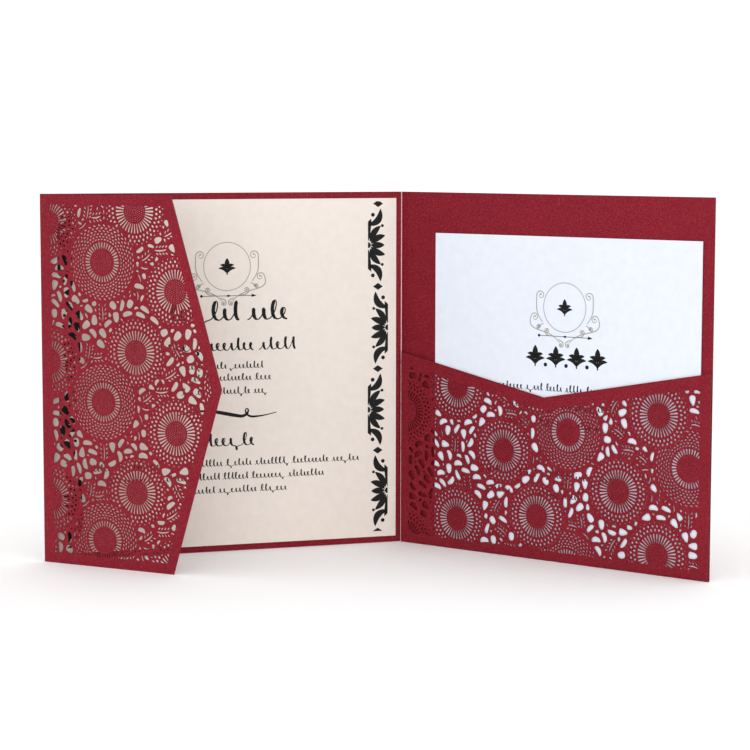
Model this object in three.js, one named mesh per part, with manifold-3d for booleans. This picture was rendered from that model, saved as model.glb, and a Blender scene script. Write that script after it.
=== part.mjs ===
// An open pocket invitation that stands on its lower edges. One sheet is folded into a jacket with
// a cut-work flap and a cut-work pocket. A printed insert lies on the centre panel and a reply
// card stands in the pocket. Millimetres, +Z up, and the open side faces -Y.
import * as THREE from 'three';
import Module from 'manifold-3d';

const wasm = await Module();
wasm.setup();

// Panels of the jacket
const panelHeight = 150;
const centreWidth = 153;
const rightWidth = 149;
const flapCornerWidth = 61.5;
const flapTipWidth = 84;
const paperThickness = 0.32;

// Angles in degrees between each panel and the X axis, seen from above
const centreYaw = 18.1;
const rightYaw = 36.7;
const flapYaw = 26.7;

// Folds
const foldRadius = 0.4;
const foldSteps = 8;
const creaseRise = 0.2;

// Cards and their clearances
const cardThickness = 0.36;
const cardClearance = 0.3;
const insertSideMargin = 2.4;
const insertEndMargin = 2.7;
const replyTopDrop = 17;
const replySideSpare = 13.6;
const replySeamGap = 1.3;

// Pocket, measured up from the foot of the jacket and away from the middle fold
const pocketSideHeight = 82;
const pocketNotchHeight = 67.4;
const pocketNotchShift = 2;
const pocketRelief = 0.4;
const seamWidth = 3.4;
const seamInset = 0.2;

// Plain frames around the cut-work
const flapFrame = 4.2;
const pocketSideFrame = 4.6;
const pocketFootFrame = 4;
const pocketTopFrame = 5;

// Cut-work: rosettes stand in columns, repeated up the sheet at one pitch
const rosettePitch = 56;
const rayCount = 18;
const rayStart = 4.8;
const rayEnd = 8.7;
const rayWidth = 0.95;
const shortRayStart = 5.5;
const dotCount = 9;
const dotRing = 11.5;
const dotLength = 2.4;
const dotWidth = 1.5;
const rosetteReach = 13.2;
const pebblePitch = 6.8;
const pebbleLength = 3.9;
const pebbleWidth = 2.5;
const pebbleSides = 5;
const smallestPebble = 0.75; // share of the full size
const pebbleDrift = 0.16; // share of the pitch
const cutClearance = 0.7;
const smallestCutArea = 0.25;
const smallestCutEdge = 0.08;

const flapColumns = [
  { across: 3.5, up: 26.5, rayed: true },
  { across: 29, up: 11.2, rayed: false },
  { across: 44.5, up: 31.7, rayed: true },
  { across: 63, up: 0.5, rayed: true },
  { across: 91, up: 20.5, rayed: false },
];
const pocketColumns = [
  { across: 3.5, up: 57, rayed: true },
  { across: 29.8, up: 13, rayed: true },
  { across: 53, up: 44, rayed: true },
  { across: 69.5, up: 18, rayed: true },
  { across: 84.3, up: 54, rayed: false },
  { across: 108, up: 32, rayed: true },
  { across: 126, up: 8, rayed: true },
  { across: 140, up: 44, rayed: false },
];

// Values that follow from the sizes above
const middleTurn = THREE.MathUtils.degToRad(rightYaw + centreYaw);
const flapTurn = THREE.MathUtils.degToRad(180 - centreYaw - flapYaw);
const pocketGap = cardThickness + 2 * cardClearance;
const pocketRadius = pocketGap / 2;
const pocketStart = pocketRadius + paperThickness;
const pocketBend = Math.PI * pocketRadius;
const pocketEdge = 2 * pocketRelief;
const notchPlace = rightWidth / 2 - pocketNotchShift;

// The flat sheet runs from the right edge to the tip of the flap, in stretches that are straight
// or bent towards the open side. Its lengths are those of the face on the open side.
const strip = [
  { length: rightWidth, turn: 0 },
  { length: foldRadius * middleTurn, turn: middleTurn },
  { length: centreWidth, turn: 0 },
  { length: foldRadius * flapTurn, turn: flapTurn },
  { length: flapTipWidth, turn: 0 },
];
const centreStart = strip[0].length + strip[1].length;
const flapStart = centreStart + strip[2].length + strip[3].length;

const point = (x, y) => new THREE.Vector2(x, y);

// Plan position and heading of a place on the strip, lifted off the sheet's open face by front
function onStrip(along, front) {
  let heading = Math.PI - THREE.MathUtils.degToRad(rightYaw);
  let x = 0;
  let y = 0;
  let left = along;
  for (const { length, turn } of strip) {
    const run = Math.min(left, length);
    if (turn === 0) {
      x += run * Math.cos(heading);
      y += run * Math.sin(heading);
    } else {
      const radius = length / turn;
      const swept = run / radius;
      x += radius * (Math.sin(heading + swept) - Math.sin(heading));
      y -= radius * (Math.cos(heading + swept) - Math.cos(heading));
      heading += swept;
    }
    left -= run;
    if (left <= 0) break;
  }
  return { x: x - front * Math.sin(heading), y: y + front * Math.cos(heading), heading };
}

// The pocket is the part of the sheet below the foot of the right panel, turned up in front of it
function folded(along, up, front) {
  const down = pocketStart - up;
  let height = up;
  let lift = front;
  if (along <= rightWidth - pocketEdge && down > 0) {
    const swept = Math.min(down / pocketRadius, Math.PI);
    const beyond = Math.max(down - pocketBend, 0);
    height = pocketStart - (pocketRadius - front) * Math.sin(swept) + beyond;
    lift = pocketRadius - (pocketRadius - front) * Math.cos(swept);
  }
  const place = onStrip(along, lift);
  return new THREE.Vector3(place.x, place.y, height);
}

// The scored middle fold carries a low bead on the open side
function beadHeight(along) {
  const share = (along - rightWidth) / strip[1].length;
  return share > 0 && share < 1 ? creaseRise * Math.sin(Math.PI * share) : 0;
}

// Half-planes that bound an area: each edge of a counter-clockwise outline, moved inwards
function bordersOf(outline, frames) {
  return outline.map((from, i) => {
    const edge = outline[(i + 1) % outline.length].clone().sub(from).normalize();
    return { from, inward: point(-edge.y, edge.x), frame: frames[i] };
  });
}

const depthIn = ({ from, inward, frame }, spot) => spot.clone().sub(from).dot(inward) - frame;

function clipped(outline, borders) {
  let points = outline;
  for (const border of borders) {
    const whole = points;
    points = whole.flatMap((spot, i) => {
      const next = whole[(i + 1) % whole.length];
      const depth = depthIn(border, spot);
      const nextDepth = depthIn(border, next);
      const kept = depth >= 0 ? [spot] : [];
      const crossing = depth * nextDepth < 0;
      return crossing ? [...kept, spot.clone().lerp(next, depth / (depth - nextDepth))] : kept;
    });
  }
  const after = (i) => points[(i + 1) % points.length];
  return points.filter((spot, i) => spot.distanceTo(after(i)) > smallestCutEdge);
}

// One shape, drawn about the origin, repeated in a ring
function ringOf(centre, count, phase, shape) {
  const copies = [];
  for (let i = 0; i < count; i += 1) {
    const angle = (2 * Math.PI * (i + phase)) / count;
    copies.push(shape.map((spot) => spot.clone().rotateAround(point(0, 0), angle).add(centre)));
  }
  return copies;
}

const rayShape = (start) => [point(start, 0), point(rayEnd, -rayWidth / 2), point(rayEnd, rayWidth / 2)];

const dotShape = (radial, tangential) => [
  point(dotRing - radial / 2, 0),
  point(dotRing, -tangential / 2),
  point(dotRing + radial / 2, 0),
  point(dotRing, tangential / 2),
];

function rosetteCuts({ centre, rayed }) {
  const rays = ringOf(centre, rayCount, 0, rayShape(rayed ? rayStart : shortRayStart));
  const dots = rayed ? dotShape(dotLength, dotWidth) : dotShape(dotWidth, dotLength);
  return [...rays, ...ringOf(centre, dotCount, 0.5, dots)];
}

function middleOf(shape) {
  const sum = shape.reduce((total, spot) => total.add(spot), point(0, 0));
  return sum.divideScalar(shape.length);
}

// Repeatable scatter between 0 and 1, from two large numbers that share no factor
function scatter(seed) {
  const value = Math.sin(seed * 12.9898) * 43758.5453;
  return value - Math.floor(value);
}

function pebbleAt(centre, seed) {
  const angle = Math.PI * scatter(seed + 0.7);
  const size = THREE.MathUtils.lerp(smallestPebble, 1, scatter(seed + 0.3));
  const shape = [];
  for (let i = 0; i < pebbleSides; i += 1) {
    const turn = (2 * Math.PI * i) / pebbleSides;
    const spot = point(pebbleLength * Math.cos(turn), pebbleWidth * Math.sin(turn));
    spot.multiplyScalar(size / 2).rotateAround(point(0, 0), angle);
    shape.push(spot.add(centre));
  }
  return shape;
}

// All cuts of one area: rosettes, then pebbles where no rosette reaches, all clipped by the frame
function cutWork(columns, width, height, bordersAt) {
  const rosettes = [];
  for (const { across, up, rayed } of columns) {
    for (let foot = up - rosettePitch; foot < height + rosetteReach; foot += rosettePitch) {
      rosettes.push({ centre: point(across, foot), rayed });
    }
  }
  const reached = (spot, list, spare) => {
    const reach = rosetteReach + spare;
    return list.some(({ centre }) => centre.distanceTo(spot) < reach);
  };
  const cuts = rosettes.flatMap((rosette, i) => {
    const earlier = rosettes.slice(0, i);
    return rosetteCuts(rosette).filter((shape) => !reached(middleOf(shape), earlier, cutClearance));
  });
  const rowHeight = pebblePitch * Math.sin(Math.PI / 3);
  const columnCount = Math.ceil(width / pebblePitch);
  for (let row = 0; row * rowHeight < height; row += 1) {
    for (let column = 0; column < columnCount; column += 1) {
      const seed = row * columnCount + column;
      const across = (column + 0.5 * (row % 2) + pebbleDrift * scatter(seed)) * pebblePitch;
      const centre = point(across, (row + pebbleDrift * scatter(seed + 0.5)) * rowHeight);
      const room = pebbleLength / 2 + cutClearance;
      const framed = bordersAt(centre).every((border) => depthIn(border, centre) > pebbleWidth / 2);
      if (framed && !reached(centre, rosettes, room)) cuts.push(pebbleAt(centre, seed));
    }
  }
  const trimmed = cuts.map((shape) => clipped(shape, bordersAt(middleOf(shape))));
  const areaOf = (shape) => Math.abs(THREE.ShapeUtils.area(shape));
  return trimmed.filter((shape) => shape.length > 2 && areaOf(shape) > smallestCutArea);
}

function flapCell() {
  const outline = [
    point(0, 0),
    point(flapCornerWidth, 0),
    point(flapTipWidth, panelHeight / 2),
    point(flapCornerWidth, panelHeight),
    point(0, panelHeight),
  ];
  const borders = bordersOf(outline, outline.map(() => flapFrame));
  const holes = cutWork(flapColumns, flapTipWidth, panelHeight, () => borders);
  const onSheet = (spot) => point(flapStart + spot.x, spot.y);
  return { outline: outline.map(onSheet), holes: holes.map((hole) => hole.map(onSheet)) };
}

function pocketCell() {
  const outline = [
    point(pocketEdge, pocketStart),
    point(rightWidth, pocketStart),
    point(rightWidth, pocketSideHeight),
    point(notchPlace, pocketNotchHeight),
    point(pocketEdge, pocketSideHeight),
  ];
  const frames = [pocketFootFrame - pocketStart, pocketSideFrame, pocketTopFrame, pocketTopFrame];
  const borders = bordersOf(outline, [...frames, pocketSideFrame - pocketEdge]);
  const [foot, right, topRight, topLeft, left] = borders;
  const bordersAt = ({ x }) => [foot, right, x < notchPlace ? topLeft : topRight, left];
  const holes = cutWork(pocketColumns, rightWidth, pocketSideHeight, bordersAt);
  const onSheet = (spot) => point(rightWidth - spot.x, 2 * pocketStart - pocketBend - spot.y);
  return { outline: outline.map(onSheet), holes: holes.map((hole) => hole.map(onSheet)) };
}

const block = (left, right, foot, top) => ({
  outline: [point(left, foot), point(right, foot), point(right, top), point(left, top)],
  holes: [],
});

// The right panel keeps a short leg beside the pocket's fold, with a relief slit between them
function rightPanelCell() {
  const outline = [
    point(0, pocketStart),
    point(rightWidth - pocketEdge, pocketStart),
    point(rightWidth - pocketRelief, pocketStart),
    point(rightWidth - pocketRelief, 0),
    point(rightWidth, 0),
    point(rightWidth, panelHeight),
    point(0, panelHeight),
  ];
  return { outline, holes: [] };
}

function sheetCells() {
  const cells = [rightPanelCell(), block(centreStart, centreStart + centreWidth, 0, panelHeight)];
  for (let i = 0; i < foldSteps; i += 1) {
    const from = i / foldSteps;
    const to = (i + 1) / foldSteps;
    const middle = strip[1].length;
    const outer = strip[3].length;
    const outerStart = flapStart - outer;
    cells.push(block(rightWidth + from * middle, rightWidth + to * middle, 0, panelHeight));
    cells.push(block(outerStart + from * outer, outerStart + to * outer, 0, panelHeight));
    const low = pocketStart - to * pocketBend;
    const high = pocketStart - from * pocketBend;
    cells.push(block(0, rightWidth - pocketEdge, low, high));
  }
  return [...cells, flapCell(), pocketCell()];
}

// Triangulates the flat cells, folds both faces and joins them with walls along every free edge
function foldedSheet(cells) {
  const corners = [];
  const known = new Map();
  const faces = [];
  const cornerAt = (spot) => {
    const key = `${spot.x.toFixed(4)} ${spot.y.toFixed(4)}`;
    if (!known.has(key)) {
      known.set(key, corners.length);
      corners.push(spot);
    }
    return known.get(key);
  };
  for (const { outline, holes } of cells) {
    const indices = [outline, ...holes].flat().map(cornerAt);
    const triangulated = THREE.ShapeUtils.triangulateShape(outline, holes);
    const found = triangulated.map((triangle) => triangle.map((i) => indices[i]));
    const areaOf = (triangle) => THREE.ShapeUtils.area(triangle.map((i) => corners[i]));
    const area = found.reduce((sum, triangle) => sum + areaOf(triangle), 0);
    faces.push(...found.map(([a, b, c]) => (area > 0 ? [a, c, b] : [a, b, c])));
  }
  const edges = new Set(faces.flatMap(([a, b, c]) => [`${a} ${b}`, `${b} ${c}`, `${c} ${a}`]));
  const count = corners.length;
  const triangles = faces.flatMap(([a, b, c]) => [a, b, c, a + count, c + count, b + count]);
  for (const edge of edges) {
    const [a, b] = edge.split(' ').map(Number);
    if (!edges.has(`${b} ${a}`)) triangles.push(b, a, a + count, b, a + count, b + count);
  }
  const front = corners.map(({ x, y }) => folded(x, y, beadHeight(x)));
  const back = corners.map(({ x, y }) => folded(x, y, -paperThickness));
  const vertProperties = new Float32Array([...front, ...back].flatMap((spot) => spot.toArray()));
  const mesh = new wasm.Mesh({ numProp: 3, vertProperties, triVerts: new Uint32Array(triangles) });
  return new wasm.Manifold(mesh);
}

// A glued strip between the right panel and the pocket, from near to far off the middle fold
function seamBlock(near, far) {
  const slope = (pocketSideHeight - pocketNotchHeight) / (rightWidth / 2);
  const top = pocketSideHeight - slope * (seamWidth + pocketEdge + 2 * seamInset);
  const foot = pocketStart + cardClearance;
  const corner = (across, front) => onStrip(rightWidth - across, front);
  const inner = -paperThickness / 2;
  const outer = pocketGap + paperThickness / 2;
  const outline = [corner(near, inner), corner(near, outer), corner(far, outer), corner(far, inner)];
  const section = new wasm.CrossSection([outline.map(({ x, y }) => [x, y])], 'NonZero');
  return section.extrude(top - foot).translate([0, 0, foot]);
}

function geometryOf(solid) {
  const { vertProperties, triVerts } = solid.getMesh();
  const geometry = new THREE.BufferGeometry();
  geometry.setAttribute('position', new THREE.BufferAttribute(new Float32Array(vertProperties), 3));
  geometry.setIndex(new THREE.BufferAttribute(new Uint32Array(triVerts), 1));
  geometry.computeVertexNormals();
  return geometry;
}

function jacketMesh() {
  const nearSeam = seamBlock(pocketEdge + seamInset, pocketEdge + seamInset + seamWidth);
  const farSeam = seamBlock(rightWidth - seamInset - seamWidth, rightWidth - seamInset);
  const solid = wasm.Manifold.union([foldedSheet(sheetCells()), nearSeam, farSeam]);
  const material = new THREE.MeshStandardMaterial({ color: 0x871a28, roughness: 0.5, metalness: 0.25 });
  const mesh = new THREE.Mesh(geometryOf(solid), material);
  mesh.name = 'pocket_jacket';
  return mesh;
}

// A flat card that stands in front of the strip, a clearance away from the sheet behind it
function cardMesh(name, from, to, foot, top, color) {
  const geometry = new THREE.BoxGeometry(to - from, cardThickness, top - foot);
  const mesh = new THREE.Mesh(geometry, new THREE.MeshStandardMaterial({ color, roughness: 0.75 }));
  const place = onStrip((from + to) / 2, cardClearance + cardThickness / 2);
  mesh.name = name;
  mesh.position.set(place.x, place.y, (foot + top) / 2);
  mesh.rotation.z = place.heading;
  return mesh;
}

function insertMesh() {
  const from = centreStart + insertSideMargin;
  const to = centreStart + centreWidth - insertSideMargin;
  return cardMesh('invitation_insert', from, to, insertEndMargin, panelHeight - insertEndMargin, 0xe8ddd0);
}

function replyMesh() {
  const from = seamInset + seamWidth + replySeamGap;
  const to = rightWidth - pocketEdge - seamInset - seamWidth - replySideSpare;
  return cardMesh('reply_card', from, to, pocketStart, panelHeight - replyTopDrop, 0xebf0fa);
}

const invitation = new THREE.Group();
invitation.name = 'pocket_invitation';
invitation.add(jacketMesh(), insertMesh(), replyMesh());

// The frame's origin is the middle of the footprint, on the ground
const bounds = new THREE.Box3().setFromObject(invitation, true);
const centre = bounds.getCenter(new THREE.Vector3());
invitation.position.set(-centre.x, -centre.y, -bounds.min.z);
invitation.updateMatrixWorld(true);

export default invitation;
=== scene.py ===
import cmath
from math import ceil, copysign, cos, floor, pi, radians, sin

import bpy
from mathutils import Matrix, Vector
from mathutils.geometry import delaunay_2d_cdt


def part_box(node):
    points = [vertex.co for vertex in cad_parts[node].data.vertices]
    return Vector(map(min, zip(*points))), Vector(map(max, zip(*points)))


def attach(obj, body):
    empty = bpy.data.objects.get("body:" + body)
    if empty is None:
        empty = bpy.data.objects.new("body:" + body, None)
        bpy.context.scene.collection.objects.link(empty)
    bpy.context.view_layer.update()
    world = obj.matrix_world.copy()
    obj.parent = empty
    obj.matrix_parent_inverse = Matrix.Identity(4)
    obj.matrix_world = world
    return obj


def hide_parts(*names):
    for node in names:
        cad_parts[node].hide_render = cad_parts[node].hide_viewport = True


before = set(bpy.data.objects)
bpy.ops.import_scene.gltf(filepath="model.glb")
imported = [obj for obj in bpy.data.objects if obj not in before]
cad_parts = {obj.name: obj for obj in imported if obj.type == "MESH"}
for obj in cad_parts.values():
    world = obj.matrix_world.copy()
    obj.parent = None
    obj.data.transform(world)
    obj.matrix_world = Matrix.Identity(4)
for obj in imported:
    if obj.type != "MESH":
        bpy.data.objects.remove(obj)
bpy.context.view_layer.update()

bl_info = {
    "name": "Pocket invitation",
    "version": (1, 0, 0),
    "blender": (4, 5, 0),
    "location": "View3D > Sidebar > Invitation",
    "description": "Builds a cut-work pocket invitation with its printed insert and reply card",
    "category": "Add Mesh",
}

MM = 0.001
FULL_TURN = 2 * pi
BODY = "root"


# Properties

def number(name, description, default, **more):
    return bpy.props.FloatProperty(name=name, description=description, default=default, **more)


def length(name, description, millimetres):
    return number(name, description, millimetres * MM, min=0.0, unit="LENGTH", precision=5)


def angle(name, description, degrees):
    return number(name, description, radians(degrees), subtype="ANGLE")


def count(name, description, default):
    return bpy.props.IntProperty(name=name, description=description, default=default, min=1)


def colour(name, description, default):
    return bpy.props.FloatVectorProperty(
        name=name, description=description, default=default, subtype="COLOR", size=3, min=0.0, max=1.0
    )


class JacketSizes(bpy.types.PropertyGroup):
    height: length("Height", "Height of every upright panel", 150)
    centre_width: length("Centre width", "Width of the centre panel", 153)
    right_width: length("Right width", "Width of the right panel", 149)
    flap_corner: length("Flap corner", "Width of the flap at its corners", 61.5)
    flap_tip: length("Flap tip", "Width of the flap at its tip", 84)
    paper: length("Paper", "Thickness of the jacket's card", 0.32)
    fold_radius: length("Fold radius", "Inside radius of the upright folds", 0.4)
    crease_rise: length("Crease rise", "Height of the scored bead in the middle fold", 0.2)
    centre_yaw: angle("Centre yaw", "Angle of the centre panel to the front", 18.1)
    right_yaw: angle("Right yaw", "Angle of the right panel to the front", 36.7)
    flap_yaw: angle("Flap yaw", "Angle of the flap to the front", 26.7)
    fold_steps: count("Fold steps", "Facets around each fold", 8)


class PocketSizes(bpy.types.PropertyGroup):
    side_height: length("Side height", "Height of the pocket at its sides", 82)
    notch_height: length("Notch height", "Height of the pocket at its notch", 67.4)
    notch_shift: length("Notch shift", "Distance of the notch from the panel's middle", 2)
    relief: length("Relief", "Slit beside the pocket's fold", 0.4)
    seam_width: length("Seam width", "Width of the glued strips", 3.4)
    seam_inset: length("Seam inset", "Distance of the glued strips from the edges", 0.2)


class CardSizes(bpy.types.PropertyGroup):
    thickness: length("Thickness", "Thickness of both cards", 0.36)
    clearance: length("Clearance", "Gap behind and in front of each card", 0.3)
    ink_lift: length("Ink lift", "Height of the print over the card", 0.012)


class CutWorkSizes(bpy.types.PropertyGroup):
    flap_frame: length("Flap frame", "Plain border around the flap's cut-work", 4.2)
    side_frame: length("Side frame", "Plain border at the pocket's sides", 4.6)
    foot_frame: length("Foot frame", "Plain border at the pocket's foot", 4)
    top_frame: length("Top frame", "Plain border below the pocket's upper edge", 5)
    pitch: length("Pitch", "Distance between rosettes in one column", 56)
    strip: length("Strip", "Narrowest strip of card between two cuts", 0.5)
    smallest_edge: length("Smallest edge", "Shortest side of a cut", 0.05)
    rays: count("Rays", "Slits around a rosette", 36)
    dashes: count("Dashes", "Dashes in one ring of a dashed rosette", 40)


class FinishColours(bpy.types.PropertyGroup):
    burgundy: colour("Burgundy", "Main colour of the jacket", (0.205, 0.0065, 0.0160))
    shimmer: colour("Shimmer", "Colour of the pearl flecks", (0.42, 0.060, 0.085))
    scorch: colour("Scorch", "Colour of the cut edges", (0.06, 0.006, 0.008))
    # Pale pink of the middle crease: partly bared fibres, partly a painted highlight along the bead
    fibre: colour("Fibre", "Colour of the bared fibres on the crease", (0.86, 0.62, 0.62))
    cream: colour("Cream", "Colour of the insert", (0.80, 0.735, 0.67))
    white: colour("White", "Colour of the reply card", (0.75, 0.80, 0.89))
    card_edge: colour("Card edge", "Colour of the cards' cut edges", (0.93, 0.93, 0.92))
    ink: colour("Ink", "Colour of the dark print", (0.006, 0.006, 0.007))
    pale_ink: colour("Pale ink", "Colour of the fine ornament", (0.36, 0.34, 0.31))


class StudioSizes(bpy.types.PropertyGroup):
    camera_side: number("Camera side", "Metres from the middle fold along X", -0.0115)
    camera_back: number("Camera back", "Metres from the middle fold along Y", -0.9576)
    camera_height: length("Camera height", "Height of the camera", 172.5)
    camera_pitch: angle("Camera pitch", "Downward tilt of the camera", 6.0)
    camera_roll: angle("Camera roll", "Roll of the camera", -0.09)
    lens: number("Lens", "Focal length in millimetres on a 36 mm frame", 108.2)
    floor: colour("Floor", "Colour of the floor and the backdrop", (0.98, 0.98, 0.98))
    key_power: number("Key power", "Power of the large front light in watts", 11.0)
    fill_power: number("Fill power", "Power of the side light in watts", 0.8)
    sky: number("Sky", "Strength of the even light from all sides", 1.1)


# The folded strip

class Strip:
    """The flat sheet from the right edge to the tip of the flap, and where it lies once folded."""

    def __init__(self, scene):
        sizes, pocket, cards = scene.jacket_sizes, scene.pocket_sizes, scene.card_sizes
        self.sizes = sizes
        middle_turn = sizes.right_yaw + sizes.centre_yaw
        flap_turn = pi - sizes.centre_yaw - sizes.flap_yaw
        self.stretches = (
            (sizes.right_width, 0.0),
            (sizes.fold_radius * middle_turn, middle_turn),
            (sizes.centre_width, 0.0),
            (sizes.fold_radius * flap_turn, flap_turn),
            (sizes.flap_tip, 0.0),
        )
        lengths = [stretch[0] for stretch in self.stretches]
        self.middle_bend = lengths[1]
        self.outer_bend = lengths[3]
        self.centre_start = sum(lengths[:2])
        self.centre_end = sum(lengths[:3])
        self.flap_start = sum(lengths[:4])
        self.pocket_radius = cards.thickness / 2 + cards.clearance
        self.pocket_start = self.pocket_radius + sizes.paper
        self.pocket_bend = pi * self.pocket_radius
        self.pocket_edge = 2 * pocket.relief
        self.shift = 0j
        self.shift = self.frame_shift()

    def plan(self, along, front=0.0):
        """Plan position, as a complex number, and heading of a place lifted off the open face."""
        heading = pi - self.sizes.right_yaw
        place, left = 0j, along
        for run, turn in self.stretches:
            here = min(left, run)
            if turn == 0.0:
                place += cmath.rect(here, heading)
            else:
                radius = run / turn
                swept = here / radius
                place += 1j * radius * (cmath.rect(1, heading) - cmath.rect(1, heading + swept))
                heading += swept
            left -= here
            if left <= 0:
                break
        return place + 1j * cmath.rect(front, heading) + self.shift, heading

    def frame_shift(self):
        """Moves the plan so that its lowest X and Y meet the solid's box."""
        low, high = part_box("pocket_jacket")
        steps = self.sizes.fold_steps
        bends = ((self.sizes.right_width, self.middle_bend), (self.centre_end, self.outer_bend))
        samples = [start + run * i / steps for start, run in bends for i in range(steps + 1)]
        samples += [0.0, self.flap_start + self.sizes.flap_tip]
        places = [self.plan(along, front)[0] for along in samples for front in (0.0, -self.sizes.paper)]
        places.append(self.plan(0.0, 2 * self.pocket_radius + self.sizes.paper)[0])
        middle_x = (min(p.real for p in places) + max(p.real for p in places)) / 2
        middle_y = (min(p.imag for p in places) + max(p.imag for p in places)) / 2
        return complex((low[0] + high[0]) / 2 - middle_x, (low[1] + high[1]) / 2 - middle_y)

    def folded(self, along, up, front):
        """Place of a point of the sheet, with the pocket turned up before the right panel."""
        down = self.pocket_start - up
        height, lift = up, front
        if along <= self.sizes.right_width - self.pocket_edge + 1e-9 and down > 0:
            swept = min(down / self.pocket_radius, pi)
            beyond = max(down - self.pocket_bend, 0.0)
            height = self.pocket_start - (self.pocket_radius - front) * sin(swept) + beyond
            lift = self.pocket_radius - (self.pocket_radius - front) * cos(swept)
        place, _ = self.plan(along, lift)
        return Vector((place.real, place.imag, height))

    def bead(self, along):
        """Rise of the scored bead over the open face of the middle fold."""
        share = (along - self.sizes.right_width) / self.middle_bend
        return self.sizes.crease_rise * sin(pi * share) if 0 < share < 1 else 0.0


# Cut shapes, as lists of complex numbers in the plane of the sheet

# Where the slits of a rosette start and end, and their widths there, in millimetres
RAY = (5.0, 8.8, 0.38, 0.7)
SHORT_RAY = (5.6, 8.0, 0.5, 0.72)
STIPPLE_RADII = (0.9, 1.7, 2.5, 3.3, 4.1)
# Radius, length, width and corners of the dots in the outer rings of a rayed rosette
DOT_RINGS = ((10.2, 1.35, 0.95, 6), (11.8, 1.15, 1.05, 6), (13.1, 0.66, 0.66, 5))
# First ring of dashes, what each of the next rings adds, and the lean of the dashes in degrees
DASH_RADIUS, DASH_RUN, DASH_WIDTH = 9.1, 1.15, 0.62
RADIUS_STEP, RUN_STEP = 1.12, 0.07
DASH_RINGS, DASH_LEAN = 6, 22
RAYED_REACH, DASHED_REACH = 13.4 * MM, 15.4 * MM
# Stem and leaflets of a twig, in millimetres, and the leaflets' tilt
STEM_WIDTH, LEAFLET_RUN, LEAFLET_WIDTH = 0.55, 1.4, 0.62
LEAFLET_OFFSET, LEAFLET_TILT = 1.4, 0.7
SMALLEST_CUT = 0.25 * MM

ROOM_BIN = 4 * MM
STONE_STEP = 1.15
STONE_TRIES = 4
STONE_RUNS = (4.3, 3.6, 2.8, 2.0, 1.3)
# Length, slimness, taper, bend and flatness of each kind of stone
STONES = ((1.0, 0.66, 0.25, 0.0, 1.0), (1.05, 0.5, 0.1, 0.6, 1.0), (1.0, 0.75, 0.0, 0.0, 0.25),
          (1.0, 0.62, 0.5, 0.0, 1.0), (1.1, 0.42, 0.15, 0.3, 1.0), (0.85, 0.8, 0.1, 0.0, 1.0))

# Across and up of the lowest rosette in each column, and whether it has rays
FLAP_COLUMNS = ((3.5, 26.5, True), (29, 11.2, False), (44.5, 31.7, True), (63, 0.5, True),
                (91, 20.5, False))
POCKET_COLUMNS = ((3.5, 57, True), (29.8, 13, True), (53, 44, True), (69.5, 18, True), (84.3, 54, False),
                  (108, 32, True), (126, 8, True), (140, 44, False))
# Across, up, angle, length and leaflets a side of each twig in one pitch of the flap
TWIGS = ((20.0, 25.4, 38, 4.4, 0), (22.4, 31.0, 80, 6.0, 4), (26.4, 29.0, 8, 4.6, 3),
         (49.8, 13.6, 36, 5.2, 3), (56.4, 16.6, 4, 5.8, 4), (48.8, 9.4, -8, 3.6, 0),
         (60.8, 23.4, 32, 6.0, 4), (40.6, 55.2, 96, 5.0, 3), (29.0, 46.8, 92, 7.0, 4),
         (63.5, 33.5, -62, 6.5, 4), (43.9, 60.4, 112, 3.4, 0), (46.6, 61.4, 112, 3.4, 0),
         (45.6, 54.4, 94, 3.6, 0), (35.6, 51.4, 80, 3.2, 0))
# The pocket's pattern is the flap's, mirrored, and repeats sideways at a slant
POCKET_MIRROR = complex(113.3, -13.2)
POCKET_REPEAT = complex(55.7, -10.5)


def scatter(seed):
    """Repeatable scatter between 0 and 1."""
    value = sin(seed * 12.9898) * 43758.5453
    return value - floor(value)


def borders_of(outline, frames):
    """Half-planes of a counter-clockwise outline, each moved inwards by its frame."""
    borders = []
    for start, end, border in zip(outline, outline[1:] + outline[:1], frames):
        edge = (end - start) / abs(end - start)
        borders.append((start, 1j * edge, border))
    return borders


def depth_in(border, spot):
    start, inward, width = border
    return ((spot - start) * inward.conjugate()).real - width


def clipped(outline, borders, smallest):
    points = outline
    for border in borders:
        depths = [depth_in(border, spot) for spot in points]
        kept = []
        for i, spot in enumerate(points):
            after = (i + 1) % len(points)
            if depths[i] >= 0:
                kept.append(spot)
            if depths[i] * depths[after] < 0:
                share = depths[i] / (depths[i] - depths[after])
                kept.append(spot + share * (points[after] - spot))
        points = kept
    return [spot for i, spot in enumerate(points) if abs(spot - points[(i + 1) % len(points)]) > smallest]


def area_of(outline):
    pairs = zip(outline, outline[1:] + outline[:1])
    return sum((a.conjugate() * b).imag for a, b in pairs) / 2


def middle_of(outline):
    return sum(outline) / len(outline)


def oval(run, width, sides=6):
    return [complex(run / 2 * cos(FULL_TURN * i / sides), width / 2 * sin(FULL_TURN * i / sides))
            for i in range(sides)]


def slit(start, end, start_width, end_width):
    """A radial slit with a rounded outer end."""
    tip = end - 0.3 * end_width
    side = [complex(start, start_width / 2), complex(tip, end_width / 2), complex(end, end_width / 5)]
    return [spot.conjugate() for spot in side] + side[::-1]


def stone(run, width, taper=0.0, bend=0.0, flat=1.0, sides=12):
    """A rounded stone; taper narrows one end, bend hollows one side and flat presses it."""
    corners = []
    for i in range(sides):
        turn = FULL_TURN * i / sides
        across, up = (copysign(abs(part) ** 0.8, part) for part in (cos(turn), sin(turn)))
        up = (up if up > 0 else flat * up) * (1 + taper * across) + bend * (across * across - 0.5)
        corners.append(complex(across * run / 2, up * width / 2))
    return corners


def turned(shape, centre, turn):
    return [spot * cmath.rect(1, turn) + centre for spot in shape]


def ring(centre, copies, radius, shape, phase=0.0, tilt=0.0):
    """Copies of a shape around a centre, each tilted from the radial direction."""
    outer = turned(shape, radius, tilt)
    return [turned(outer, centre, FULL_TURN * (i + phase) / copies) for i in range(copies)]


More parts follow.
